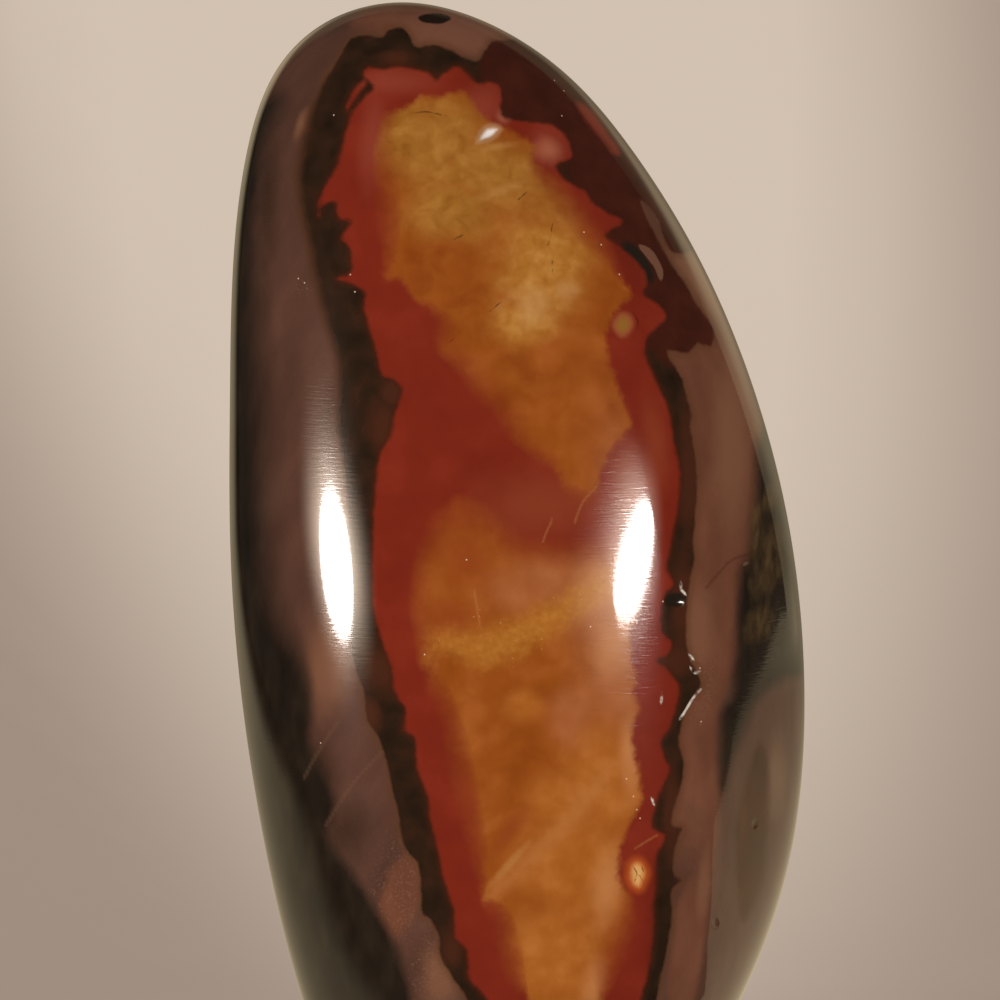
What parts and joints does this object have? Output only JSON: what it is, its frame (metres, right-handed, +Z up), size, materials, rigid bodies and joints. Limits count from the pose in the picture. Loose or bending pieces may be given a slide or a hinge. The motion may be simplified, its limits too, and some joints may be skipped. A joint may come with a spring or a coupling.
{
  "type": "polished jasper freeform",
  "caption": "Upright polished freeform of banded jasper: one leaning, tooth-shaped stone with softly ground flats and a flat foot to stand on.",
  "frame": {"origin": "in the plane that the stone stands on, under the middle of its bounding box", "axes": "+Z is up, -Y is the front face with the amber figure, +X is to the right as seen from the front"},
  "size_m": [0.0626, 0.0438, 0.125],
  "materials": {
    "polished_jasper": "mirror polished, mauve brown coat with a brick red and amber figure inside a black line"
  },
  "bodies": {
    "root": {"jasper_freeform": "polished_jasper"}
  },
  "joints": []
}
